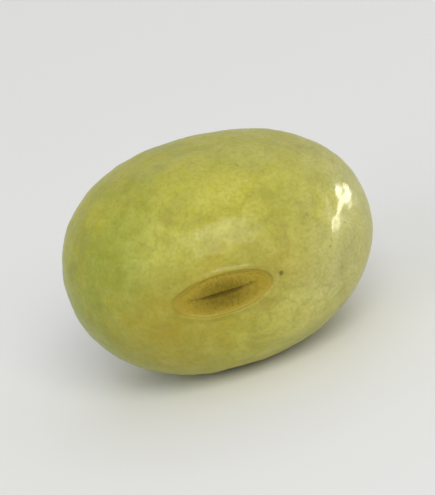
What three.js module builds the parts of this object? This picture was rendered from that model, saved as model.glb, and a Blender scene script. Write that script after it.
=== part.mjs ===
// One dried green soybean, lying on its flatter flank. Millimetres, +Z up.
// X runs along the bean, with the root tip towards +X. -Y is the belly, which carries the hilum: the scar
// where the bean hung in its pod. Z is the thickness, from one seed half to the other.
// The origin is on the surface that the bean rests on, under the middle of its bounding box.
import * as THREE from "three";
import { mergeVertices } from "three/addons/utils/BufferGeometryUtils.js";

// Driving dimensions: the box that the bean fills.
const LENGTH = 9.9; // along X
const WIDTH = 8.5; // belly to back, along Y
const THICKNESS = 7.1; // flank to flank, along Z
const FOOT_CUT = 0.09; // how much the flank underneath is flattened, which gives a foot about 2 mm across

// The plain form, as shares of the half sizes.
const PLUMPNESS = 2.06; // 2 is an ellipsoid, and more is fuller at the shoulders
const TAPER = 0.05; // how much slimmer the root tip's end is than the other
const BELLY_FLATNESS = 0.02; // how much the belly is flatter than the back
const FLANK_FLATNESS = 0.02; // how much the two flanks are flatter than an ellipsoid's

// Places on the belly are told by s, the distance from the hilum's middle along the belly towards the root
// tip, and v, the distance from the belly's middle line, which is the height above the bean's middle plane.
const HILUM_PLACE = -0.25; // the hilum's middle, from the belly's middle
const HILUM = { halfLength: 1.5, halfWidth: 0.6, depth: 0.075, lip: 0.055 };
const HILUM_WALL = { from: 0.86, to: 1.02 }; // where the pit's floor rises to the coat, in hilum radii
const HILUM_RIM = { at: 1.13, width: 0.13, height: 0.032 }; // at and width are in hilum radii
const SLIT = { halfWidth: 0.09, depth: 0.09 }; // the fine groove along the hilum's middle
const SLIT_ENDS = { from: 0.62, to: 0.85 }; // where the slit fades out, as shares of the hilum's half length
const SADDLE = { length: 2.8, width: 1.7, depth: 0.04 }; // the shallow dip that the hilum lies in
const MICROPYLE = { s: 1.95, radius: 0.14, depth: 0.05 }; // the pore between the hilum and the root tip
// The seedling's root under the skin: a ridge with a furrow down each side. It rises, falls and widens over
// the given lengths, and starts at the narrowest share of its width.
const ROOT_RIDGE = { from: 1.8, to: 5.4, halfWidth: 0.75, height: 0.12 };
const ROOT_ENDS = { rise: 1.5, fall: 1.6, widening: 1.8, narrowest: 0.45 };
const ROOT_FURROW = { at: 1.7, width: 0.6, depth: 0.06 }; // at and width are in widths of the ridge
const RAPHE = { from: -3.2, to: -1.75, halfWidth: 0.16, depth: 0.02 }; // the groove on the hilum's other side
const RAPHE_ENDS = { rise: 0.5, fall: 0.3 };
const CHALAZA = { s: -3.45, radius: 0.36, height: 0.02 }; // the small mound that ends the raphe

// Wide, low dents and swellings: the direction that each faces, its reach as an angle, and its height.
const UNEVENNESS = [
  { towards: [0.15, 0.1, 1], reach: 0.55, height: -0.1 }, // the flank on top has dried in a little
  { towards: [-0.75, -0.35, 0.6], reach: 0.6, height: 0.1 },
  { towards: [0.7, 0.55, 0.5], reach: 0.5, height: 0.09 },
  { towards: [-0.3, 0.9, 0.35], reach: 0.5, height: -0.08 },
  { towards: [0.55, -0.6, -0.6], reach: 0.45, height: 0.07 },
  { towards: [-0.6, 0.4, -0.7], reach: 0.5, height: 0.08 },
];

// The mesh: a box's surface is divided into this many steps along X, Y and Z and blown up to a sphere, so
// its grid lines run along and across the hilum. They close up there, because it has the finest relief.
const STEPS = [40, 16, 34];
const HILUM_SPACING = 0.5; // the spacing in the middle of the belly's box face, where 1 is evenly spread
const CROWDING = 0.3; // how far all points are drawn towards the hilum, where 0 is not at all

const HALF = new THREE.Vector3(LENGTH, WIDTH, THICKNESS).divideScalar(2);
const HILUM_DIRECTION = new THREE.Vector3(HILUM_PLACE / HALF.x, -1, 0).normalize();

const bump = (t) => Math.exp(-t * t);
const rise = (from, to, t) => THREE.MathUtils.smoothstep(t, from, to);

// Turns a point of the box, whose coordinates go from -1 to 1, into a unit direction. The grid lines close
// up in the middle of the belly's face and stay evenly spread on the back, and then all are drawn forward.
function directionOf({ x, y, z }) {
  const spacing = THREE.MathUtils.mapLinear(y, -1, 1, HILUM_SPACING, 1);
  const closeUp = (t) => t * (spacing + (1 - spacing) * t * t);
  const direction = new THREE.Vector3(closeUp(x), y, closeUp(z)).normalize();
  const angle = direction.angleTo(HILUM_DIRECTION);
  const axis = new THREE.Vector3().crossVectors(HILUM_DIRECTION, direction);
  if (axis.length() < 1e-9) return direction;
  return direction
    .copy(HILUM_DIRECTION)
    .applyAxisAngle(axis.normalize(), angle - CROWDING * Math.sin(angle));
}

// The point of the plain form that lies in a direction: a plump, slightly tapered ellipsoid.
function plainForm(direction) {
  const sizes = direction.toArray().map((t) => Math.abs(t) ** PLUMPNESS);
  const reach = (sizes[0] + sizes[1] + sizes[2]) ** (-1 / PLUMPNESS);
  let { x, y, z } = direction.clone().multiplyScalar(reach);
  const slimming = 1 - TAPER * x;
  y *= slimming;
  z *= slimming * (1 - FLANK_FLATNESS * z * z);
  if (y < 0) y *= 1 - BELLY_FLATNESS * y * y;
  return new THREE.Vector3(x, y, z).multiply(HALF);
}

function unevenness(direction) {
  return UNEVENNESS.reduce((height, dent) => {
    const angle = direction.angleTo(new THREE.Vector3(...dent.towards));
    return height + dent.height * bump(angle / dent.reach);
  }, 0);
}

// The scar: a shallow oval pit with a raised rim, two soft lips and a slit between them.
function hilumRelief(s, v) {
  const radius = Math.hypot(s / HILUM.halfLength, v / HILUM.halfWidth);
  const inside = 1 - rise(HILUM_WALL.from, HILUM_WALL.to, radius);
  const pit = -HILUM.depth * inside;
  const lips = HILUM.lip * inside * (1 - radius * radius);
  const rim = HILUM_RIM.height * bump((radius - HILUM_RIM.at) / HILUM_RIM.width);
  const slitPresent = 1 - rise(SLIT_ENDS.from, SLIT_ENDS.to, Math.abs(s) / HILUM.halfLength);
  const slit = -SLIT.depth * bump(v / SLIT.halfWidth) * slitPresent;
  return pit + lips + rim + slit;
}

// The ridge starts as a point beside the hilum, widens, and fades towards the bean's end.
function rootRelief(s, v) {
  const { from, to, halfWidth, height } = ROOT_RIDGE;
  const present = rise(from, from + ROOT_ENDS.rise, s) * (1 - rise(to - ROOT_ENDS.fall, to, s));
  const widened = rise(from, from + ROOT_ENDS.widening, s);
  const width = halfWidth * THREE.MathUtils.lerp(ROOT_ENDS.narrowest, 1, widened);
  const furrow = (Math.abs(v) / width - ROOT_FURROW.at) / ROOT_FURROW.width;
  return present * (height * bump(v / width) - ROOT_FURROW.depth * bump(furrow));
}

function rapheRelief(s, v) {
  const { from, to, halfWidth, depth } = RAPHE;
  const present = rise(from, from + RAPHE_ENDS.rise, s) * (1 - rise(to - RAPHE_ENDS.fall, to, s));
  const groove = -depth * present * bump(v / halfWidth);
  const mound = CHALAZA.height * bump(Math.hypot(s - CHALAZA.s, v) / CHALAZA.radius);
  return groove + mound;
}

// The height of everything on the belly above the plain form, at a point of that form.
function bellyRelief(point) {
  const turn = Math.atan2(point.x / HALF.x, -point.y / HALF.y);
  if (Math.abs(turn) > Math.PI / 2) return 0;
  const s = HALF.x * turn - HILUM_PLACE;
  const v = point.z;
  const saddle = -SADDLE.depth * bump(s / SADDLE.length) * bump(v / SADDLE.width);
  const pore = -MICROPYLE.depth * bump(Math.hypot(s - MICROPYLE.s, v) / MICROPYLE.radius);
  return saddle + pore + hilumRelief(s, v) + rootRelief(s, v) + rapheRelief(s, v);
}

// Stretches a geometry to the driving dimensions and flattens its underside into the foot.
function fitToBox(geometry) {
  geometry.computeBoundingBox();
  const size = geometry.boundingBox.getSize(new THREE.Vector3());
  geometry.center();
  geometry.scale(LENGTH / size.x, WIDTH / size.y, (THICKNESS + FOOT_CUT) / size.z);
  geometry.translate(0, 0, (THICKNESS - FOOT_CUT) / 2);
  const points = geometry.getAttribute("position");
  for (let i = 0; i < points.count; i += 1) {
    points.setZ(i, Math.max(points.getZ(i), 0));
  }
  return geometry;
}

function beanGeometry() {
  const box = new THREE.BoxGeometry(2, 2, 2, ...STEPS);
  box.deleteAttribute("normal");
  box.deleteAttribute("uv");
  const geometry = mergeVertices(box, 1e-6);
  const points = geometry.getAttribute("position");
  const heights = [];
  for (let i = 0; i < points.count; i += 1) {
    const direction = directionOf(new THREE.Vector3().fromBufferAttribute(points, i));
    const point = plainForm(direction);
    heights.push(unevenness(direction) + bellyRelief(point));
    points.setXYZ(i, point.x, point.y, point.z);
  }
  geometry.computeVertexNormals();
  const normals = geometry.getAttribute("normal");
  heights.forEach((height, i) => {
    const point = new THREE.Vector3().fromBufferAttribute(points, i);
    point.addScaledVector(new THREE.Vector3().fromBufferAttribute(normals, i), height);
    points.setXYZ(i, point.x, point.y, point.z);
  });
  fitToBox(geometry);
  geometry.computeVertexNormals();
  return geometry;
}

const seedCoat = new THREE.MeshStandardMaterial({ color: 0xb3ad5c, roughness: 0.45, metalness: 0 });

const soybean = new THREE.Mesh(beanGeometry(), seedCoat);
soybean.name = "soybean";

const part = new THREE.Group();
part.add(soybean);

export default part;
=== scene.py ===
# %% [markdown]
# # A dried green soybean
# One seed, about a centimetre long, lying on its flank on a pale table. From afar it is a plain egg. What
# makes it a soybean is small: the scar on its belly, the root that shows under the skin, the dents that
# drying has left, and a green that has faded in patches. The solid that the physics uses is loaded first,
# because the fine seed built here has to fill the same box.

# %% Load the solid and take its sizes
import math

import bpy
import numpy as np
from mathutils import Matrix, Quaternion, Vector, noise


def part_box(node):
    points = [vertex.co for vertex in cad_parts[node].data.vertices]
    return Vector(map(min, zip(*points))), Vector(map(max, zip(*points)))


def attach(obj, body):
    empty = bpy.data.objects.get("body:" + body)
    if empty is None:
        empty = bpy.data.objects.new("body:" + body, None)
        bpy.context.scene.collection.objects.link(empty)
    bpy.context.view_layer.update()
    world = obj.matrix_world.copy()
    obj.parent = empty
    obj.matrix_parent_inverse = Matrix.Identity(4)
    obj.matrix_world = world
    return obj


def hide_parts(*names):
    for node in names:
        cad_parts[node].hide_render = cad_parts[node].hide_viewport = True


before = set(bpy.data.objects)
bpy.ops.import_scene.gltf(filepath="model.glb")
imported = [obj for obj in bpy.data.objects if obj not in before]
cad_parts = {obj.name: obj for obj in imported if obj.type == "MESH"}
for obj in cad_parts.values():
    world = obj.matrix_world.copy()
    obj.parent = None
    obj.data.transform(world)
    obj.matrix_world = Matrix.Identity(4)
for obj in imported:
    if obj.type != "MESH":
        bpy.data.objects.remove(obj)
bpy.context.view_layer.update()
MM = 0.001  # the scene is in metres, and everything about the seed is easier to read in millimetres

seed_low, seed_high = (np.array(corner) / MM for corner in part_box("soybean"))
size = seed_high - seed_low
half = size / 2
middle = (seed_low + seed_high) / 2
print("Pieces of the frame:", list(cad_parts), " the seed's box in mm:", size.round(3))

# %% [markdown]
# ## The camera
# The seed is seen a little from above, with the scar on its belly just below the middle. It is small, so a
# short lens close by would swell the near side, and a long lens from further off keeps the outline true. The
# camera is also rolled, so that the seed's length climbs to the right.

# %% Make the camera
LENS = 200  # mm, on a sensor 36 mm tall
SENSOR = 36
VIEW_HEIGHT = 15.6  # mm of the scene that fit from the bottom to the top of the picture
CAMERA_ELEVATION = 19  # degrees above the table
CAMERA_ROLL = -17  # degrees


def direction_to(azimuth, elevation):
    """The unit direction of something seen from the seed. Azimuth 0 is in front, and 90 is to the right."""
    a, e = math.radians(azimuth), math.radians(elevation)
    return Vector((math.sin(a) * math.cos(e), -math.cos(a) * math.cos(e), math.sin(e)))


aim = Vector(middle) * MM
toward_camera = direction_to(0, CAMERA_ELEVATION)
camera_data = bpy.data.cameras.new("camera")
camera_data.lens = LENS
camera_data.sensor_width = SENSOR
camera_data.clip_start, camera_data.clip_end = 0.005, 5
camera = bpy.data.objects.new("camera", camera_data)
camera.location = aim + toward_camera * (VIEW_HEIGHT * MM * LENS / SENSOR)
camera.rotation_mode = "QUATERNION"
roll = Quaternion((0, 0, 1), math.radians(CAMERA_ROLL))
camera.rotation_quaternion = (-toward_camera).to_track_quat("-Z", "Y") @ roll
bpy.context.scene.collection.objects.link(camera)
bpy.context.scene.camera = camera
print("The camera is", round((camera.location - aim).length / MM), "mm from the seed")

# %% [markdown]
# ## The light
# A seed's colours show best in soft light from all round. The key is a wide panel above, a little to the
# right, a fill stands to the left, and a weak light behind lifts the far edge. A low panel on the right, a
# little behind the seed, puts the small hard glint on its end. A stronger key would give a glint too, but
# it would bleach the coat. So the glint's panel is left out of the diffuse light and shows only in the
# shine. It is flat and weak too, or it would flood the far rim when the seed is seen from the left.

# %% Set the lights
LIGHT_DISTANCE = 0.6  # metres
AIR_TINT, AIR_STRENGTH = (0.97, 0.98, 1.0, 1), 0.5


def panel_light(name, azimuth, elevation, width, height, watts, tint=(1, 1, 1)):
    """A flat panel that faces the seed. Its place is in degrees, and its size in metres."""
    data = bpy.data.lights.new(name, "AREA")
    data.shape = "RECTANGLE"
    data.size, data.size_y = width, height
    data.energy = watts
    data.color = tint
    lamp = bpy.data.objects.new(name, data)
    away = direction_to(azimuth, elevation)
    lamp.location = aim + away * LIGHT_DISTANCE
    lamp.rotation_mode = "QUATERNION"
    lamp.rotation_quaternion = away.to_track_quat("Z", "Y")
    bpy.context.scene.collection.objects.link(lamp)
    return lamp


panel_light("key_light", 12, 38, 0.34, 0.34, 2.1, (1.0, 0.985, 0.95))
panel_light("fill_light", -40, 20, 0.45, 0.45, 0.8, (0.99, 0.99, 1.0))
panel_light("back_light", 170, 45, 0.40, 0.40, 0.3)
glint_light = panel_light("glint_light", 107, 5, 0.40, 0.08, 4.8, (1.0, 0.97, 0.76))
glint_light.visible_diffuse = False

world = bpy.data.worlds.new("studio_air")
world.use_nodes = True
world.node_tree.nodes["Background"].inputs["Color"].default_value = AIR_TINT
world.node_tree.nodes["Background"].inputs["Strength"].default_value = AIR_STRENGTH
bpy.context.scene.world = world
bpy.context.scene.view_settings.view_transform = "Standard"
print("Lamps:", [lamp.name for lamp in bpy.data.lights])

# %% [markdown]
# ## The table
# The soft shadow and the pale light that comes back up from below are what make the seed lie on something.
# A backdrop that curves up behind it would show its curve from the other sides. One wide flat sheet looks
# the same from everywhere and never shows an edge.

# %% Lay the table
TABLE_WIDTH = 3.0  # metres
table_mesh = bpy.data.meshes.new("table")
edge = TABLE_WIDTH / 2
table_corners = [(-edge, -edge, 0), (edge, -edge, 0), (edge, edge, 0), (-edge, edge, 0)]
table_mesh.from_pydata(table_corners, [], [(0, 1, 2, 3)])
table = bpy.data.objects.new("table", table_mesh)
bpy.context.scene.collection.objects.link(table)

table_finish = bpy.data.materials.new("pale_table")
table_finish.use_nodes = True
table_shader = table_finish.node_tree.nodes["Principled BSDF"]
table_shader.inputs["Base Color"].default_value = (0.82, 0.82, 0.81, 1)
table_shader.inputs["Roughness"].default_value = 0.9
table_shader.inputs["Specular IOR Level"].default_value = 0.2
table_mesh.materials.append(table_finish)
print("The table is", TABLE_WIDTH, "m wide, and the seed", round(size[0] * MM, 4), "m long")

# %% [markdown]
# ## The grid
# The seed's skin is one closed sheet, so it starts as one: a box whose sides are cut into small four-sided
# faces, to be blown up to the seed's form. A globe of rings would do for an egg, but it has poles where
# its faces pinch. The box has none, and its lines run along and across the scar, so that the scar's rim and
# slit come out clean.

# %% Cut a box into a grid
GRID_STEPS = (170, 70, 150)  # along, belly to back, and flank to flank


def box_grid(steps):
    """Corners from -1 to 1 and outward four-sided faces of a box cut into steps along X, Y and Z."""
    steps = np.array(steps)
    points, faces = [], []
    for axis in range(3):
        across, up = (axis + 1) % 3, (axis + 2) % 3
        a, b = np.meshgrid(np.arange(steps[across] + 1), np.arange(steps[up] + 1), indexing="ij")
        number = np.arange(a.size).reshape(a.shape)
        around = (number[:-1, :-1], number[1:, :-1], number[1:, 1:], number[:-1, 1:])
        quads = np.stack(around, axis=-1).reshape(-1, 4)
        for end in (0, steps[axis]):
            side = np.empty((a.size, 3), int)
            side[:, axis], side[:, across], side[:, up] = end, a.ravel(), b.ravel()
            faces.append(sum(map(len, points)) + (quads if end else quads[:, ::-1]))
            points.append(side)
    corners, merged = np.unique(np.concatenate(points), axis=0, return_inverse=True)
    return corners / steps * 2 - 1, merged.reshape(-1)[np.concatenate(faces)]


grid_corners, faces = box_grid(GRID_STEPS)
print("Grid points:", len(grid_corners), " faces:", len(faces))

# %% [markdown]
# ## The form
# A soybean could be sculpted by hand, but a seed's form follows simple rules, and rules are easier to
# change: a plump ellipsoid, a little slimmer at the root's end and flatter on the belly and the flanks. Each
# corner of the grid becomes a direction, and the rules say how far out the skin lies that way. The
# directions crowd round the scar, because the finest relief is there.

# %% Blow the grid up to the plain form
PLUMPNESS = 2.06  # 2 is an ellipsoid, and more is fuller at the shoulders
TAPER = 0.05  # how much slimmer the root tip's end is than the other
BELLY_FLATNESS = 0.02  # how much flatter the belly is than the back
FLANK_FLATNESS = 0.02  # how much flatter the two flanks are than an ellipsoid's
SCAR_PLACE = -0.25  # mm along the belly from its middle, towards the root tip
SCAR_SPACING = 0.5  # the grid's spacing at the scar, where 1 is evenly spread
CROWDING = 0.3  # how far all points are drawn towards the scar
TINY = 1e-12  # stops a division by zero where a direction is the scar's own


def unit(vectors):
    return vectors / np.linalg.norm(vectors, axis=-1, keepdims=True)


scar_direction = unit(np.array([SCAR_PLACE / half[0], -1, 0]))


def grid_direction(corners):
    """Turns the box's corners into unit directions that crowd round the scar."""
    x, y, z = corners.T
    spacing = np.interp(y, (-1, 1), (SCAR_SPACING, 1))
    closer = [t * (spacing + (1 - spacing) * t * t) for t in (x, z)]
    direction = unit(np.stack([closer[0], y, closer[1]], axis=1))
    along = direction @ scar_direction
    angle = np.arccos(np.clip(along, -1, 1))
    sideways = unit(direction - along[:, None] * scar_direction + TINY)
    angle = (angle - CROWDING * np.sin(angle))[:, None]
    return np.cos(angle) * scar_direction + np.sin(angle) * sideways


def plain_form(direction):
    reach = (np.abs(direction) ** PLUMPNESS).sum(axis=1) ** (-1 / PLUMPNESS)
    x, y, z = (direction * reach[:, None]).T
    slimming = 1 - TAPER * x
    y = y * slimming
    z = z * slimming * (1 - FLANK_FLATNESS * z * z)
    y = np.where(y < 0, y * (1 - BELLY_FLATNESS * y * y), y)
    return np.stack([x, y, z], axis=1) * half


direction = grid_direction(grid_corners)
form = plain_form(direction)
print("The plain form measures", np.ptp(form, axis=0).round(2), "mm")

# %% [markdown]
# ## Places on the belly
# Everything round the scar is told by two distances: `s` along the belly from the scar's middle, and `v`
# across it. A third measure, the scar's radius, is 1 on the scar's outline and grows outwards. The seed tore
# loose from its stalk there, so a little noise makes the outline uneven. An unwrapped map could give the
# same distances, but on a form this simple a formula does, and it has no seam.

# %% Measure along and across the belly
HILUM_HALF_LENGTH, HILUM_HALF_WIDTH = 1.5, 0.6  # mm, as are all sizes of the relief
SCAR_WOBBLE, SCAR_WOBBLE_SPACING = 0.07, 0.6  # how uneven the scar's outline is, as a share, and how finely
NOISE_ROUGHNESS, NOISE_STEP = 0.6, 2  # how noise gets weaker and finer from one octave to the next


def noise_at(points, octaves=1, shift=0):
    """Smooth noise between about -1 and 1 at each point. The shift picks another stretch of the noise."""
    offset = Vector((shift, shift, shift))
    places = (Vector(point) + offset for point in points)
    return np.array([noise.fractal(place, NOISE_ROUGHNESS, NOISE_STEP, octaves) for place in places])


turn = np.arctan2(form[:, 0] / half[0], -form[:, 1] / half[1])
on_belly = np.abs(turn) <= math.pi / 2
s = half[0] * turn - SCAR_PLACE
v = form[:, 2]
hilum_radius = np.hypot(s / HILUM_HALF_LENGTH, v / HILUM_HALF_WIDTH)
hilum_radius *= 1 + SCAR_WOBBLE * noise_at(form / SCAR_WOBBLE_SPACING, shift=20)
print("Grid points on the scar:", int((on_belly & (hilum_radius < 1)).sum()))

# %% [markdown]
# ## The scar
# The scar, or hilum, is where the seed hung in its pod: a shallow oval pit with a raised rim, two soft lips
# and a slit. It could be pressed in with a sculpting brush. Here each of them is a height above the plain
# form, told by the distances, and heights simply add up. So each can be read and changed on its own.

# %% The scar's relief
HILUM_DEPTH, HILUM_LIP = 0.075, 0.055
WALL_FROM, WALL_TO = 0.86, 1.02  # where the pit's floor rises to the coat, in hilum radii
RIM_AT, RIM_WIDTH, RIM_HEIGHT = 1.13, 0.13, 0.032  # the first two are in hilum radii
SLIT_HALF_WIDTH, SLIT_DEPTH = 0.055, 0.07
SLIT_ENDS = (0.62, 0.85)  # where the slit fades out, as shares of the scar's half length
SADDLE_LENGTH, SADDLE_WIDTH, SADDLE_DEPTH = 2.8, 1.7, 0.04  # the wide shallow dip that the scar lies in


def bump(t):
    """1 at the middle, and falls smoothly to almost nothing at 2 on each side."""
    return np.exp(-t * t)


def rise(start, end, t):
    """Goes smoothly from 0 at start to 1 at end."""
    t = np.clip((t - start) / (end - start), 0, 1)
    return t * t * (3 - 2 * t)


def hilum_relief():
    inside = 1 - rise(WALL_FROM, WALL_TO, hilum_radius)
    pit = -HILUM_DEPTH * inside
    lips = HILUM_LIP * inside * (1 - hilum_radius**2)
    rim = RIM_HEIGHT * bump((hilum_radius - RIM_AT) / RIM_WIDTH)
    slit_present = 1 - rise(*SLIT_ENDS, np.abs(s) / HILUM_HALF_LENGTH)
    slit = -SLIT_DEPTH * bump(v / SLIT_HALF_WIDTH) * slit_present
    return pit + lips + rim + slit


saddle = -SADDLE_DEPTH * bump(s / SADDLE_LENGTH) * bump(v / SADDLE_WIDTH)
scar_height = saddle + hilum_relief()
lowest, highest = scar_height[on_belly].min(), scar_height[on_belly].max()
print("The scar's relief goes from", lowest.round(3), "to", highest.round(3), "mm")

# %% [markdown]
# ## The pore, the root and the raphe
# On one side of the scar lies a pore, the size of a pinprick, where water got in. Past it the little root
# shows under the skin as a ridge that starts as a point and has a furrow down each side. On the other side
# a fine groove, the raphe, ends in a low mound. They are heights along `s` and across `v` again, and each
# fades in and out, because nothing on a seed starts with a step.

# %% The relief of what lies beside the scar
PORE_PLACE, PORE_RADIUS, PORE_DEPTH = 1.95, 0.14, 0.05
ROOT_FROM, ROOT_TO, ROOT_HALF_WIDTH, ROOT_HEIGHT = 1.8, 5.4, 0.75, 0.12
ROOT_RISE, ROOT_FALL, ROOT_WIDENING, ROOT_NARROWEST = 1.5, 1.6, 1.8, 0.45
FURROW_AT, FURROW_WIDTH, FURROW_DEPTH = 1.7, 0.6, 0.06  # the first two are in widths of the root's ridge
RAPHE_FROM, RAPHE_TO, RAPHE_HALF_WIDTH, RAPHE_DEPTH = -3.2, -1.75, 0.16, 0.02
RAPHE_RISE, RAPHE_FALL = 0.5, 0.3
MOUND_PLACE, MOUND_RADIUS, MOUND_HEIGHT = -3.45, 0.36, 0.02


def root_relief():
    present = rise(ROOT_FROM, ROOT_FROM + ROOT_RISE, s) * (1 - rise(ROOT_TO - ROOT_FALL, ROOT_TO, s))
    widened = rise(ROOT_FROM, ROOT_FROM + ROOT_WIDENING, s)
    width = ROOT_HALF_WIDTH * (ROOT_NARROWEST + (1 - ROOT_NARROWEST) * widened)
    furrow = (np.abs(v) / width - FURROW_AT) / FURROW_WIDTH
    return present * (ROOT_HEIGHT * bump(v / width) - FURROW_DEPTH * bump(furrow))


def raphe_relief():
    present = rise(RAPHE_FROM, RAPHE_FROM + RAPHE_RISE, s) * (1 - rise(RAPHE_TO - RAPHE_FALL, RAPHE_TO, s))
    mound = MOUND_HEIGHT * bump(np.hypot(s - MOUND_PLACE, v) / MOUND_RADIUS)
    return mound - RAPHE_DEPTH * present * bump(v / RAPHE_HALF_WIDTH)


in_pore = bump(np.hypot(s - PORE_PLACE, v) / PORE_RADIUS)
belly = scar_height - PORE_DEPTH * in_pore + root_relief() + raphe_relief()
height = np.where(on_belly, belly, 0)
print("The root's ridge is", root_relief()[on_belly].max().round(3), "mm high")

# %% [markdown]
# ## The dents
# Drying pulls the flesh in unevenly. It leaves wide low dents and swellings, which bend the highlight as the
# seed turns. A few large strokes of noise would do it too, but a list says where each one lies, so the solid
# and this seed can have the same ones.

# %% Dent the seed
DENTS = [  # the direction that each faces, its reach as an angle, and its height in mm
    ((0.15, 0.1, 1), 0.55, -0.10),
    ((-0.75, -0.35, 0.6), 0.60, 0.10),
    ((0.7, 0.55, 0.5), 0.50, 0.09),
    ((-0.3, 0.9, 0.35), 0.50, -0.08),
    ((0.55, -0.6, -0.6), 0.45, 0.07),
    ((-0.6, 0.4, -0.7), 0.50, 0.08),
]


def soft_patches(patches):
    """The sum of round patches that fade outwards, each told by where it faces, its reach and its amount."""
    total = np.zeros(len(direction))
    for towards, reach, amount in patches:
        angle = np.arccos(np.clip(direction @ unit(np.array(towards)), -1, 1))
        total += amount * bump(angle / reach)
    return total


dents = soft_patches(DENTS)
height = height + dents
print("Dents and swellings go from", dents.min().round(3), "to", dents.max().round(3), "mm")

# %% [markdown]
# ## Ripples, grain and valleys
# The skin shrinks less than the flesh and has to go somewhere. It ripples about a millimetre apart,
# with a fine grain on top, and sinks into a net of shallow valleys. They are real relief and not only
# shading, so that they also show at the outline. Smooth noise gives the ripples and the grain. The valleys
# follow the borders between the cells of a Voronoi pattern, as cracks in dried mud do, and fade
# out here and there.

# %% Ripple the skin
RIPPLE_SPACING, RIPPLE_HEIGHT = 1.1, 0.026
GRAIN_SPACING, GRAIN_HEIGHT = 0.32, 0.008
CELL_SIZE, VALLEY_WIDTH, VALLEY_DEPTH = 0.7, 0.14, 0.009  # the width is a share of a cell
CELL_DRIFT, DRIFT_SPACING = 0.4, 0.8  # how far the cells are pushed about, so that they aren't all alike
VALLEY_PATCHES = 1.9  # mm between the places that have valleys
VALLEYS_FROM, VALLEYS_FULL = -0.2, 0.6  # the noise where valleys begin, and where they are at their deepest


def cell_borders(points):
    """How close each point is to a border between Voronoi cells: 0 on the border, and up to about 1."""
    nearest = [noise.voronoi(Vector(point))[0][:2] for point in points]
    return np.array([second - first for first, second in nearest])


ripples = noise_at(form / RIPPLE_SPACING, octaves=2)
grain = noise_at(form / GRAIN_SPACING, octaves=2, shift=40)
drift = [noise_at(form / DRIFT_SPACING, shift=shift) for shift in (60, 70, 80)]
valleys = bump(cell_borders(form / CELL_SIZE + CELL_DRIFT * np.stack(drift, axis=1)) / VALLEY_WIDTH)
valleys = valleys * rise(VALLEYS_FROM, VALLEYS_FULL, noise_at(form / VALLEY_PATCHES, octaves=2, shift=90))
print("Share of the skin that lies in valleys:", (valleys > 0.5).mean().round(3))

# %% [markdown]
# ## Wrinkles and folds
# Where the skin had the most to lose, it creases. Wrinkles run along the seed beside the scar, and folds run
# round the root's end. A brush could draw each one. Noise that is squeezed one way and stretched the
# other gives many at once, all different, and a band says where they are.

# %% Wrinkle the skin
WRINKLE_LENGTH, WRINKLE_SPACING, WRINKLE_HEIGHT = 1.6, 0.34, 0.018
WRINKLE_BAND = (0.9, 1.5, 2.6, 3.6)  # mm across the belly: from nothing to full, and from full to nothing
WRINKLE_ENDS = (2.0, 4.5)  # mm along the belly, from full to nothing
FOLD_LENGTH, FOLD_SPACING, FOLD_HEIGHT = 0.6, 0.11, 0.026  # the first two are angles round the root's end
FOLD_BAND = (0.3, 0.7, 1.0, 1.5)  # angles from the root's end, as in the band of the wrinkles
FOLD_SWAY = 0.8  # how much the ripples bend the folds
FOLD_PATCHES, FOLD_LEAN = 3.0, 0.5  # mm between the places that have folds, and how much they favour the top
FOLDS_FROM, FOLDS_FULL = -0.2, 0.4  # as for the valleys
FOLD_HUB = 0.2  # nearer the end than this angle, the folds crowd no further
OFF_SCAR = (1.0, 1.5)  # hilum radii, from where the skin's relief is nothing to where it is full


def band(edges, t):
    """Goes from 0 to 1 between the first two edges, and back to 0 between the last two."""
    return rise(*edges[:2], t) * (1 - rise(*edges[2:], t))


stretched = np.stack([s / WRINKLE_LENGTH, v / WRINKLE_SPACING, 0 * s], axis=1)
wrinkled = np.where(on_belly, band(WRINKLE_BAND, np.abs(v)) * (1 - rise(*WRINKLE_ENDS, np.abs(s))), 0)
wrinkles = noise_at(stretched, shift=100) * wrinkled

from_end = np.arccos(np.clip(direction[:, 0], -1, 1))
round_end = direction[:, 1:] / np.maximum(np.sin(from_end), FOLD_HUB)[:, None] / FOLD_LENGTH
stretched = np.column_stack([from_end / FOLD_SPACING + FOLD_SWAY * ripples, round_end])
favoured = FOLD_LEAN * (direction[:, 2] - direction[:, 1]) + noise_at(form / FOLD_PATCHES, shift=170)
folds = noise_at(stretched, shift=140) * band(FOLD_BAND, from_end) * rise(FOLDS_FROM, FOLDS_FULL, favoured)

off_scar = np.where(on_belly, rise(*OFF_SCAR, hilum_radius), 1)
fine_skin = GRAIN_HEIGHT * grain - VALLEY_DEPTH * valleys + WRINKLE_HEIGHT * wrinkles + FOLD_HEIGHT * folds
skin = RIPPLE_HEIGHT * ripples + fine_skin
height = height + skin * off_scar
print("The skin's relief goes from", skin.min().round(3), "to", skin.max().round(3), "mm")

# %% [markdown]
# ## The scar's fibres
# The stalk was a bundle of fibres, and their torn ends cross the scar from the slit to the rim. Single
# hairs would be too fine to see. Noise that is squeezed along the slit and stretched across it gives
# a floor of short ridges instead.

# %% Roughen the scar
FIBRE_LENGTH, FIBRE_SPACING, FIBRE_HEIGHT = 0.5, 0.16, 0.014
FIBRE_ENDS = (0.85, 1.05)  # hilum radii, from where the fibres are full to where they are gone

on_scar = np.where(on_belly, 1 - rise(*FIBRE_ENDS, hilum_radius), 0)
stretched = np.stack([s / FIBRE_SPACING, v / FIBRE_LENGTH, 0 * s], axis=1)
fibre_ridges = FIBRE_HEIGHT * noise_at(stretched, octaves=3, shift=120) * on_scar
height = height + fibre_ridges
print("The fibres stand", np.ptp(fibre_ridges).round(3), "mm from the lowest to the highest")
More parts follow.
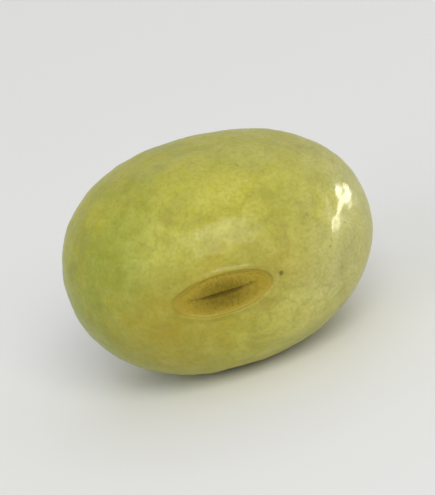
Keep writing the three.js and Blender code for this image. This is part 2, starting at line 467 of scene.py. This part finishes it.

# %% [markdown]
# ## Where the colour changes
# The coat has zones of colour: it is paler above the scar and beside it, cream towards the root's end, and
# tan below the scar. The cream on the belly is partly a painted reflection of the low light on the right,
# and the tan at the lower left partly a painted shadow. They could be painted on by hand. A short list of
# places does the same, is easy to change, and can be told as the dents are.

# %% The colour zones
PALE_ZONES = [  # the direction that each faces, its reach as an angle, and how pale it is
    ((-0.22, -0.83, 0.51), 0.40, 0.8),
    ((0.26, -0.88, -0.38), 0.42, 1.1),
    ((0.21, -0.66, 0.72), 0.45, 0.5),
    ((-0.50, 0.70, 0.50), 0.50, 0.8),
    ((0.35, 0.80, -0.45), 0.40, 0.8),
]
# The first also darkens the lower left of the belly as a painted shadow.
TAN_AND_SHADOW_ZONES = [
    ((-0.46, -0.82, -0.34), 0.45, 1.15),
    ((0.16, -0.95, 0.30), 0.35, 0.5),
    ((0.45, 0.75, 0.45), 0.40, 0.6),
]
# The first is partly cream, partly a painted reflection of the low light on the right.
CREAM_AND_REFLECTION_ZONES = [
    ((0.64, -0.74, -0.20), 0.40, 0.85),
    ((0.70, 0.55, 0.40), 0.40, 0.5),
]
zones = {
    "pale_zone": soft_patches(PALE_ZONES),
    "tan_and_shadow_zone": soft_patches(TAN_AND_SHADOW_ZONES),
    "cream_and_reflection_zone": soft_patches(CREAM_AND_REFLECTION_ZONES),
}
for name, amount in zones.items():
    print("Share of the points with more than half of the", name, "colour:", (amount > 0.5).mean().round(2))

# %% [markdown]
# ## The mesh
# Each point moves along the form's own normal by its height. A displacement modifier would do that too, but
# the result also has to fit the solid's box exactly, so it is stretched to it. What would lie under the
# table is pressed flat, which gives the small foot that the seed rests on. The distances from the scar, the
# skin's relief and the colour zones go along as attributes, and the materials read them.

# %% Move the points and press the foot flat
FOOT_CUT = 0.09  # mm of the underside that the foot takes away


def point_normals(points, faces):
    """Each point's normal, from the faces round it, weighted by their size."""
    a, b, c, d = (points[faces[:, i]] for i in range(4))
    face_normals = np.cross(c - a, d - b)
    normals = np.zeros_like(points)
    for i in range(4):
        np.add.at(normals, faces[:, i], face_normals)
    return unit(normals)


points = form + height[:, None] * point_normals(form, faces)
low, high = points.min(axis=0), points.max(axis=0)
target_low = seed_low - (0, 0, FOOT_CUT)
points = target_low + (points - low) * (seed_high - target_low) / (high - low)
points[:, 2] = np.maximum(points[:, 2], seed_low[2])
print("The foot measures", np.ptp(points[points[:, 2] <= seed_low[2]], axis=0)[:2].round(2), "mm")

# %% Make the seed's mesh
FAR_AWAY = 99.0  # hilum radii, for the points on the back

seed_mesh = bpy.data.meshes.new("soybean_seed")
seed_mesh.from_pydata((points * MM).tolist(), [], faces.tolist())
seed_mesh.shade_smooth()
masks = {
    "hilum_radius": np.where(on_belly, hilum_radius, FAR_AWAY),
    "along_belly": s,
    "across_belly": v,
    "valley": valleys * off_scar,
    "fine_relief": fine_skin * off_scar,
    "pore": np.where(on_belly, in_pore, 0),
    **zones,
}
for name, values in masks.items():
    seed_mesh.attributes.new(name, "FLOAT", "POINT").data.foreach_set("value", values.astype(np.float32))

seed = bpy.data.objects.new("soybean_seed", seed_mesh)
bpy.context.scene.collection.objects.link(seed)
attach(seed, "root")
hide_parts("soybean")
print("Triangles:", 2 * len(faces), " attributes:", list(masks))

# %% [markdown]
# ## Shader nodes without the mouse
# Materials are usually wired by hand in the shader editor. Here a few helpers do it, so that a material
# reads as a list of steps. A node's inputs are given in their order or by name, and each is
# either a value or an output of an earlier node. Colours are given as a paint program shows them and turned
# into the linear values that light needs.

# %% Helpers that add nodes
def colour(red, green, blue):
    """A colour from 0 to 255, as a paint program gives it, in linear values by the standard sRGB curve."""
    shares = [value / 255 for value in (red, green, blue)]
    return (*(c / 12.92 if c <= 0.04045 else ((c + 0.055) / 1.055) ** 2.4 for c in shares), 1)


def add_node(tree, kind, *values, settings=None, **named):
    """Adds a node and gives or links its inputs: values fill them in order, and names pick them."""
    node = tree.nodes.new("ShaderNode" + kind)
    for name, value in (settings or {}).items():
        setattr(node, name, value)
    sockets = [socket for socket in node.inputs if socket.enabled]
    pairs = list(zip(sockets, values))
    pairs += [(node.inputs[name.replace("_", " ")], value) for name, value in named.items()]
    for socket, value in pairs:
        if isinstance(value, bpy.types.NodeSocket):
            tree.links.new(value, socket)
        else:
            socket.default_value = value
    return node


def maths(tree, operation, *values):
    return add_node(tree, "Math", *values, settings={"operation": operation}).outputs[0]


def times(tree, first, second):
    return maths(tree, "MULTIPLY", first, second)


def ramp(tree, value, start, end, low=0.0, high=1.0):
    """Goes smoothly from low to high as the value goes from start to end."""
    settings = {"interpolation_type": "SMOOTHSTEP"}
    return add_node(tree, "MapRange", value, start, end, low, high, settings=settings).outputs[0]


print("A paint program's middle grey, 128, is", round(colour(128, 128, 128)[0], 3), "in linear values")

# %% [markdown]
# ## Mottle, the first of three shared effects
# The skin and the scar are different tissues, but they dried together and lay in the same sack. So both are
# mottled, both have a grain of cells, and both carry specks. Each effect is a node group with its
# own sizes as inputs: it is built once, and each material sets it to its own values. The mottle is noise in
# two sizes, because drying works in wide patches and in small flecks, and one size alone looks
# like camouflage.

# %% Patterns in millimetres
def millimetres(tree):
    """The point's own place on the seed, in millimetres."""
    place = add_node(tree, "TexCoord").outputs["Object"]
    return add_node(tree, "VectorMath", place, Scale=1 / MM, settings={"operation": "SCALE"}).outputs[0]


def set_spacing(tree, texture, spacing):
    """A texture's scale is one over its spacing in mm, whether that is a number or a group's input."""
    if isinstance(spacing, bpy.types.NodeSocket):
        tree.links.new(maths(tree, "DIVIDE", 1.0, spacing), texture.inputs["Scale"])
    else:
        texture.inputs["Scale"].default_value = 1 / spacing


def noise_pattern(tree, place, spacing, detail=2.0, roughness=0.5, distortion=0.0):
    """Soft noise around 0.5, with lumps about as wide as the spacing."""
    texture = add_node(tree, "TexNoise", place, Detail=detail, Roughness=roughness, Distortion=distortion)
    set_spacing(tree, texture, spacing)
    return texture.outputs["Fac"]


print("Places on the seed are in metres, so the patterns take them", round(1 / MM), "times")


# %% Make the mottle
PATCH_NOISE, FLECK_NOISE = (0.28, 0.72), (0.32, 0.68)  # the noise that becomes 0, and that becomes 1


def shader_group(name, inputs, outputs):
    """An empty node group. Inputs are numbers with a usual value, and outputs are values."""
    group = bpy.data.node_groups.new(name, "ShaderNodeTree")
    for socket_name, usual in inputs.items():
        socket = group.interface.new_socket(socket_name, in_out="INPUT", socket_type="NodeSocketFloat")
        socket.default_value = usual
    for socket_name in outputs:
        group.interface.new_socket(socket_name, in_out="OUTPUT", socket_type="NodeSocketFloat")
    return group, group.nodes.new("NodeGroupInput").outputs, group.nodes.new("NodeGroupOutput").inputs


def make_mottle():
    """Cloudy patches and flecks, both from 0 to 1. The sizes are in mm."""
    sizes = {"Patch Size": 3.0, "Fleck Size": 0.5}
    group, given, result = shader_group("drying_mottle", sizes, ["Patches", "Flecks"])
    place = millimetres(group)
    patches = noise_pattern(group, place, given["Patch Size"], detail=3.0, distortion=0.4)
    flecks = noise_pattern(group, place, given["Fleck Size"], detail=4.0, roughness=0.6)
    group.links.new(ramp(group, patches, *PATCH_NOISE), result["Patches"])
    group.links.new(ramp(group, flecks, *FLECK_NOISE), result["Flecks"])
    return group


mottle = make_mottle()
print("Sockets of the mottle:", [socket.name for socket in mottle.interface.items_tree])

# %% [markdown]
# ## Grain, the second shared effect
# From arm's length a seed looks smooth, but its skin is a pavement of tiny cells with finer pores, which is
# what makes its shine satin. They are far too small for the mesh. In the group, a Voronoi pattern gives
# each cell a low dome, and noise pricks the pores. It puts out a height, which can feed a bump and
# a colour alike.

# %% Make the grain
PORE_SPACING = 0.05  # mm
PORE_NOISE = (0.42, 0.28)  # the noise where a pore begins, and where it is at its deepest


def make_grain():
    """The height of the cells and pores, from about 0 to 1. The cells' size is in mm."""
    group, given, result = shader_group("cell_grain", {"Cell Size": 0.12, "Pore Depth": 0.3}, ["Height"])
    place = millimetres(group)
    cells = add_node(group, "TexVoronoi", place, settings={"feature": "SMOOTH_F1"}, Smoothness=0.6)
    set_spacing(group, cells, given["Cell Size"])
    domes = maths(group, "SUBTRACT", 1.0, cells.outputs["Distance"])
    pricks = noise_pattern(group, place, PORE_SPACING, detail=3.0, roughness=0.6)
    pricked = ramp(group, pricks, *PORE_NOISE)
    height = maths(group, "SUBTRACT", domes, times(group, pricked, given["Pore Depth"]))
    group.links.new(height, result["Height"])
    return group


cell_grain = make_grain()
print("Sockets of the grain:", [socket.name for socket in cell_grain.interface.items_tree])

# %% [markdown]
# ## Specks, the third shared effect
# Freckles and dust are small, roundish and scattered without order. They could be placed one by one from a
# list. Here space is divided into cells instead, each cell draws a number, and only those that draw a
# low one carry a speck in their middle. Noise pushes the places about first, so no speck is a true circle.

# %% Make the specks
LUMPS_PER_SPACING = 2.5  # how finely the specks' outlines are pushed about
PUSH = 0.4  # mm
SPECK_CORE = 0.5  # the share of a speck's radius that is fully covered


def make_specks():
    """1 on a speck, and 0 off it. The radius is a share of the spacing, which is in mm."""
    usual = {"Spacing": 0.4, "Share": 0.1, "Radius": 0.2}
    group, given, result = shader_group("scattered_specks", usual, ["Mask"])
    place = millimetres(group)
    lumps = add_node(group, "TexNoise", place)
    set_spacing(group, lumps, times(group, given["Spacing"], 1 / LUMPS_PER_SPACING))
    push = {"operation": "MULTIPLY_ADD"}
    pushed = add_node(group, "VectorMath", lumps.outputs["Color"], (PUSH, PUSH, PUSH), place, settings=push)
    cells = add_node(group, "TexVoronoi", pushed.outputs[0])
    set_spacing(group, cells, given["Spacing"])
    drawn = add_node(group, "SeparateColor", cells.outputs["Color"]).outputs[0]
    chosen = maths(group, "LESS_THAN", drawn, given["Share"])
    inner = times(group, given["Radius"], SPECK_CORE)
    near = ramp(group, cells.outputs["Distance"], given["Radius"], inner)
    group.links.new(times(group, chosen, near), result["Mask"])
    return group


specks = make_specks()
print("Sockets of the specks:", [socket.name for socket in specks.interface.items_tree])

# %% [markdown]
# ## The seed coat
# A dried green soybean isn't one green. The green fades where the seed lay open to light and where the skin
# is thin, to yellow and then cream. A single gradient along the seed would look airbrushed. So the base
# colour is a ladder from green to cream, and a place's step on it comes from where it lies along the seed
# plus the cloudy mottle.

# %% Colour the seed coat from green to cream
GREEN, YELLOW, CREAM = colour(126, 139, 30), colour(176, 171, 42), colour(190, 185, 102)
FADING = {"along": 0.58, "Patches": 0.35, "Flecks": 0.14}  # what each adds to how faded a place is
GREEN_UNTIL, YELLOW_AT, CREAM_AT = 0.1, 0.56, 0.97  # how faded a place of each colour is


def new_material(name):
    material = bpy.data.materials.new(name)
    material.use_nodes = True
    return material, material.node_tree, material.node_tree.nodes["Principled BSDF"]


def use_group(tree, group, **values):
    """Places a group in a material and gives back its outputs."""
    node = tree.nodes.new("ShaderNodeGroup")
    node.node_tree = group
    for name, value in values.items():
        node.inputs[name.replace("_", " ")].default_value = value
    return node.outputs


def paint(tree, under, over, where, strength=1.0):
    """Lays one colour over another, as much as the mask says, times the strength."""
    cover = times(tree, where, strength)
    mix = add_node(tree, "Mix", cover, under, over, settings={"data_type": "RGBA"})
    return next(output for output in mix.outputs if output.enabled)


coat, tree, shader = new_material("green_seed_coat")
clouds = use_group(tree, mottle, Patch_Size=4.2, Fleck_Size=0.6)
x_place = add_node(tree, "SeparateXYZ", millimetres(tree)).outputs["X"]
faded = times(tree, ramp(tree, x_place, -half[0], half[0]), FADING["along"])
for name in ("Patches", "Flecks"):
    faded = maths(tree, "ADD", faded, times(tree, clouds[name], FADING[name]))
base = paint(tree, GREEN, YELLOW, ramp(tree, faded, GREEN_UNTIL, YELLOW_AT))
base = paint(tree, base, CREAM, ramp(tree, faded, YELLOW_AT, CREAM_AT))
print("All is cream from", CREAM_AT, "on, and the most faded places reach", round(sum(FADING.values()), 2))

# %% [markdown]
# ## The coat's pale, cream and tan places
# The zones are laid over the ladder one after the other, and last comes the tan ring that every scar of this
# kind has round it. A mask with a clear edge would look like paint. Stains in a skin have none, and nor have
# shadows and reflections, so the zones fade out and the mottle breaks them up: pale and cream keep off the
# flecks, and tan gathers on them.

# %% Lay the zones over the coat
# The pale cream is also a painted reflection, and the ring's tan also a painted shadow in the tan zone.
PALE_YELLOW, PALE_CREAM_AND_REFLECTION, RING_TAN_AND_PAINTED_SHADOW = colour(202, 196, 88), colour(202, 197, 136), colour(152, 132, 20)
ZONE_COLOURS = {  # the colour of each zone, and how strong it is between the flecks and on them
    "pale_zone": (PALE_YELLOW, 0.8, 0.5),
    "cream_and_reflection_zone": (PALE_CREAM_AND_REFLECTION, 0.9, 0.6),
    "tan_and_shadow_zone": (RING_TAN_AND_PAINTED_SHADOW, 0.5, 0.9),
}
RING_REACH = 2.8  # hilum radii


def mask(tree, name):
    """The value that the mesh carries under a name."""
    return add_node(tree, "Attribute", settings={"attribute_name": name}).outputs["Fac"]


for name, (tint, between, on_flecks) in ZONE_COLOURS.items():
    strength = ramp(tree, clouds["Flecks"], 0, 1, between, on_flecks)
    base = paint(tree, base, tint, mask(tree, name), strength)
radius = mask(tree, "hilum_radius")
base = paint(tree, base, RING_TAN_AND_PAINTED_SHADOW, ramp(tree, radius, RING_REACH, 1.0), strength=0.6)
in_ring = (masks["hilum_radius"] > 1) & (masks["hilum_radius"] < RING_REACH)
print("Share of the points in the tan ring:", in_ring.mean().round(2))

# %% [markdown]
# ## Marks on the coat
# A year in a sack leaves marks: a few tan freckles, brown specks of dust, deep green stains a millimetre
# wide, and a pale waxy bloom. They could be one texture, but each has its own size and strength, and
# laid one over the other they cross at random, as real marks do.

# %% Mark the coat
# The brown is the dust's, and also painted shade in the pore.
FRECKLE_TAN, BROWN_DUST_AND_PORE_SHADE = colour(138, 112, 32), colour(84, 62, 24)
# The pale is the bloom's and the dust's, and also painted light on the relief's high places.
DEEP_GREEN, PALE_BLOOM_AND_PAINTED_LIGHT = colour(124, 128, 28), colour(196, 194, 110)
FRECKLES = {"Spacing": 1.1, "Share": 0.3, "Radius": 0.3}
DUST = {"Spacing": 0.5, "Share": 0.06, "Radius": 0.13}
BLOOM_NOISE = (0.4, 0.8)  # the noise where bloom begins, and where it is full

base = paint(tree, base, FRECKLE_TAN, use_group(tree, specks, **FRECKLES)["Mask"], strength=0.35)
base = paint(tree, base, BROWN_DUST_AND_PORE_SHADE, use_group(tree, specks, **DUST)["Mask"], strength=0.55)
stains = use_group(tree, mottle, Patch_Size=1.3, Fleck_Size=0.5)
base = paint(tree, base, DEEP_GREEN, stains["Patches"], strength=0.32)
base = paint(tree, base, PALE_BLOOM_AND_PAINTED_LIGHT, stains["Flecks"], strength=0.1)
bloom_clouds = noise_pattern(tree, millimetres(tree), 0.8, detail=4.0, roughness=0.65, distortion=0.2)
bloom = ramp(tree, bloom_clouds, *BLOOM_NOISE)
base = paint(tree, base, PALE_BLOOM_AND_PAINTED_LIGHT, bloom, strength=0.2)
for name, marks in (("Freckles", FRECKLES), ("Specks of dust", DUST)):
    print(name, "are up to", round(2 * marks["Radius"] * marks["Spacing"], 2), "mm wide")

# %% [markdown]
# ## Painted shade and light on the relief, and stipple
# The finest colour follows the relief as painted shade and light, so that the relief shows in soft light:
# hollows and valleys are darker, and high places paler. A shader can search for hollows itself, but that is
# slow and misses such shallow ones. So the mesh hands its heights over as an attribute, and the colour and
# the shape agree. A stipple a tenth of a millimetre wide and the borders of the skin's cells, darkened as
# painted shade, break up what would look airbrushed from close by.

# %% Shade the hollows and stipple the coat
# An olive for painted shade in the hollows and the cells' borders, and for the stipple's flecks.
OLIVE_STIPPLE_AND_PAINTED_SHADE = colour(122, 118, 34)
FINE_RELIEF = 0.014  # mm from the skin's middle to the hollows and bumps that show at full strength
CELL_BORDERS = (0.6, 0.2)  # how high the cells are where their borders' shade begins, and where it is full

# Painted shade in the net of valleys.
base = paint(tree, base, GREEN, mask(tree, "valley"), strength=0.14)
relief = mask(tree, "fine_relief")
# Painted shade in the hollows of the fine relief, and painted light on its high places.
base = paint(tree, base, OLIVE_STIPPLE_AND_PAINTED_SHADE, ramp(tree, relief, 0.0, -FINE_RELIEF), strength=0.22)
base = paint(tree, base, PALE_BLOOM_AND_PAINTED_LIGHT, ramp(tree, relief, 0.0, FINE_RELIEF), strength=0.2)
stipple = use_group(tree, mottle, Patch_Size=0.45, Fleck_Size=0.14)
base = paint(tree, base, OLIVE_STIPPLE_AND_PAINTED_SHADE, stipple["Flecks"], strength=0.16)
base = paint(tree, base, PALE_BLOOM_AND_PAINTED_LIGHT, stipple["Patches"], strength=0.1)
skin_cells = use_group(tree, cell_grain, Cell_Size=0.1, Pore_Depth=0.4)["Height"]
# Painted shade in the low borders between the skin's cells.
base = paint(tree, base, OLIVE_STIPPLE_AND_PAINTED_SHADE, ramp(tree, skin_cells, *CELL_BORDERS), strength=0.2)
print("Share of the points at full strength:", (np.abs(masks["fine_relief"]) > FINE_RELIEF).mean().round(2))

# %% [markdown]
# ## Where the coat ends
# The coat is open at two places. The pore is a dark dot of painted shade, as in a hole. Round the scar the
# skin was torn, and its edge has dried tan and has a thin brown line for a border. The line is partly the
# edge's own brown and partly painted shade in the crack between the rim and the scar. An even line is easy,
# but it looks drawn with a pen. The stains' mottle makes this one strong here and faint there.

# %% Darken the pore and the torn edge
EDGE_TAN, SCAR_BROWN = colour(153, 135, 42), colour(118, 101, 12)
EDGE_REACH = 1.05  # where the torn edge starts, in hilum radii
LINE_OUTSIDE, LINE_INSIDE = (1.09, 1.04), (0.99, 1.03)  # where the brown line fades, in hilum radii
LINE_STRENGTH = (0.1, 0.6)  # off the stains and on them

# Painted shade: the pore is darkened as a hole is.
base = paint(tree, base, BROWN_DUST_AND_PORE_SHADE, ramp(tree, mask(tree, "pore"), 0.5, 1.0), strength=0.7)
torn_edge = ramp(tree, radius, EDGE_REACH, 1.0)
base = paint(tree, base, EDGE_TAN, torn_edge)
# Partly the torn edge's own brown, partly painted shade in the crack round the scar.
border_line_and_crack_shade = times(tree, ramp(tree, radius, *LINE_OUTSIDE), ramp(tree, radius, *LINE_INSIDE))
base = paint(tree, base, SCAR_BROWN, border_line_and_crack_shade, ramp(tree, stains["Patches"], 0.1, 0.9, *LINE_STRENGTH))
tree.links.new(base, shader.inputs["Base Color"])
print("Layers of colour on the coat:", sum(node.type == "MIX" for node in tree.nodes))

# %% [markdown]
# ## The coat's shine
# The dried skin has a satin shine that is duller where the bloom lies. One even roughness would look like
# plastic, so it follows the same masks as the colour. The bump is only the skin's cells, because all that is
# bigger is in the mesh. The flesh lets light in a little way, which subsurface scattering gives, and the wax
# is a thin second coat. A touch of sheen stands for the dust that pales the seed's edges.

# %% Give the coat its grain and shine
CELL_HEIGHT = 0.016  # mm
COAT_ROUGHNESS = (0.52, 0.64)  # between the flecks and on them
BLOOM_ROUGHNESS, EDGE_ROUGHNESS = 0.12, 0.2  # what the bloom and the torn edge add to it
COAT_FINISH = {
    "Specular IOR Level": 0.18,
    "Subsurface Weight": 0.15,
    "Subsurface Radius": (1.0, 0.75, 0.25),
    "Subsurface Scale": 0.4 * MM,
    "Coat Weight": 0.28,
    "Coat Roughness": 0.2,
    "Sheen Weight": 0.15,
    "Sheen Roughness": 0.4,
    "Sheen Tint": colour(240, 236, 190),
}


def raise_bumps(tree, shader, height, tallest):
    """Shades a height pattern as bumps. The tallest are given in mm."""
    bumps = add_node(tree, "Bump", Strength=0.8, Distance=tallest * MM, Height=height)
    tree.links.new(bumps.outputs["Normal"], shader.inputs["Normal"])


raise_bumps(tree, shader, skin_cells, CELL_HEIGHT)
roughness = ramp(tree, clouds["Flecks"], 0, 1, *COAT_ROUGHNESS)
roughness = maths(tree, "ADD", roughness, times(tree, bloom, BLOOM_ROUGHNESS))
roughness = maths(tree, "ADD", roughness, times(tree, torn_edge, EDGE_ROUGHNESS))
tree.links.new(roughness, shader.inputs["Roughness"])
for name, value in COAT_FINISH.items():
    shader.inputs[name].default_value = value
print("Nodes in the coat:", len(tree.nodes))

# %% [markdown]
# ## The scar
# The scar is what is left of the stalk that fed the seed: a dry, spongy tissue. It is brown in the middle
# and pales to the torn edge. A smooth gradient would do for the colour but not for the fibres that were
# torn there. So noise that is squeezed along the slit and stretched across it frays the border of the brown,
# and darkens single fibres.

# %% Colour the scar
SCAR_DARK = colour(72, 56, 6)
FIBRE_WIDE, FIBRE_LONG = 0.05, 0.35  # mm
FRAY = 0.3  # hilum radii that the fibres shift the brown's border
BROWN_REACH = (0.95, 0.15)  # hilum radii, from where the brown begins to where it is full
BROWN_ENDS = (1.25, 0.2)  # the same in mm along the scar from its middle
FIBRE_NOISE, DARK_NOISE = (0.3, 0.7), (0.45, 0.7)  # the noise that frays, and that darkens a fibre

scar, tree, shader = new_material("scar_tissue")
clouds = use_group(tree, mottle, Patch_Size=0.8, Fleck_Size=0.14)
radius, s_place, v_place = (mask(tree, name) for name in ("hilum_radius", "along_belly", "across_belly"))
squeezed, stretched = times(tree, s_place, 1 / FIBRE_WIDE), times(tree, v_place, 1 / FIBRE_LONG)
fibre_place = add_node(tree, "CombineXYZ", squeezed, stretched).outputs[0]
fibres = noise_pattern(tree, fibre_place, 1.0, detail=3.0, roughness=0.6)
frayed = maths(tree, "ADD", radius, ramp(tree, fibres, *FIBRE_NOISE, -FRAY, FRAY))
along = maths(tree, "ABSOLUTE", s_place)
base = paint(tree, EDGE_TAN, SCAR_BROWN, ramp(tree, frayed, *BROWN_REACH), ramp(tree, along, *BROWN_ENDS))
fading = ramp(tree, radius, 0.4, 0.95, low=0.5, high=0.0)
base = paint(tree, base, SCAR_DARK, ramp(tree, fibres, *DARK_NOISE), fading)
base = paint(tree, base, SCAR_DARK, clouds["Flecks"], ramp(tree, radius, 0.5, 0.95, low=0.25, high=0.0))
print("About", round(2 * HILUM_HALF_LENGTH / FIBRE_WIDE), "fibres lie side by side along the scar")

# %% [markdown]
# ## The scar's slit and dust
# The slit is darkest, because it is deep and narrow, and it narrows to nothing at its ends. The mesh has it
# as a groove, but at this size the shade in a groove is faint, so the colour helps. Pale dust lies in the
# sponge. There is no wax on it, so it is matt all over.

# %% Finish the scar
SLIT_NARROWEST, SLIT_WIDEST = 0.02, 0.1  # mm, half the width of the dark line
SLIT_TAPER = (1.2, 0.2)  # mm along the scar, from the slit's end to where it has its full width
SLIT_FADE = (1.1, 0.4)  # the same for how dark it is
SCAR_DUST = {"Spacing": 0.28, "Share": 0.3, "Radius": 0.14}
SPONGE_HEIGHT = 0.02  # mm
SCAR_ROUGHNESS = (0.65, 0.85)  # between the flecks and on them

slit_width = ramp(tree, along, *SLIT_TAPER, SLIT_NARROWEST, SLIT_WIDEST)
off_middle = maths(tree, "DIVIDE", maths(tree, "ABSOLUTE", v_place), slit_width)
slit_strength = ramp(tree, along, *SLIT_FADE, high=0.6)
base = paint(tree, base, SCAR_DARK, ramp(tree, off_middle, 1.0, 0.2), slit_strength)
base = paint(tree, base, PALE_BLOOM_AND_PAINTED_LIGHT, use_group(tree, specks, **SCAR_DUST)["Mask"], strength=0.4)
tree.links.new(base, shader.inputs["Base Color"])
sponge = use_group(tree, cell_grain, Cell_Size=0.07, Pore_Depth=0.8)["Height"]
raise_bumps(tree, shader, sponge, SPONGE_HEIGHT)
roughness = ramp(tree, clouds["Flecks"], 0, 1, *SCAR_ROUGHNESS)
tree.links.new(roughness, shader.inputs["Roughness"])
shader.inputs["Specular IOR Level"].default_value = 0.2
print("Nodes in the scar:", len(tree.nodes))

# %% [markdown]
# ## Which faces are the scar's
# A face has one material, so the line between two materials runs from face to face and looks like a saw. The
# scar could be a mesh of its own, but it grew on the seed, so it stays a part of its skin. The line
# is hidden instead: it lies just inside the torn edge, where both materials have one colour.

# %% Put the materials on the seed
SCAR_FACES = 0.96  # faces nearer the scar's middle than this, in hilum radii, take the scar's material

for material in (coat, scar):
    seed_mesh.materials.append(material)
on_scar_face = masks["hilum_radius"][faces].mean(axis=1) < SCAR_FACES
seed_mesh.polygons.foreach_set("material_index", on_scar_face.astype(np.int32))
print("Faces of the scar:", int(on_scar_face.sum()), "of", len(faces))
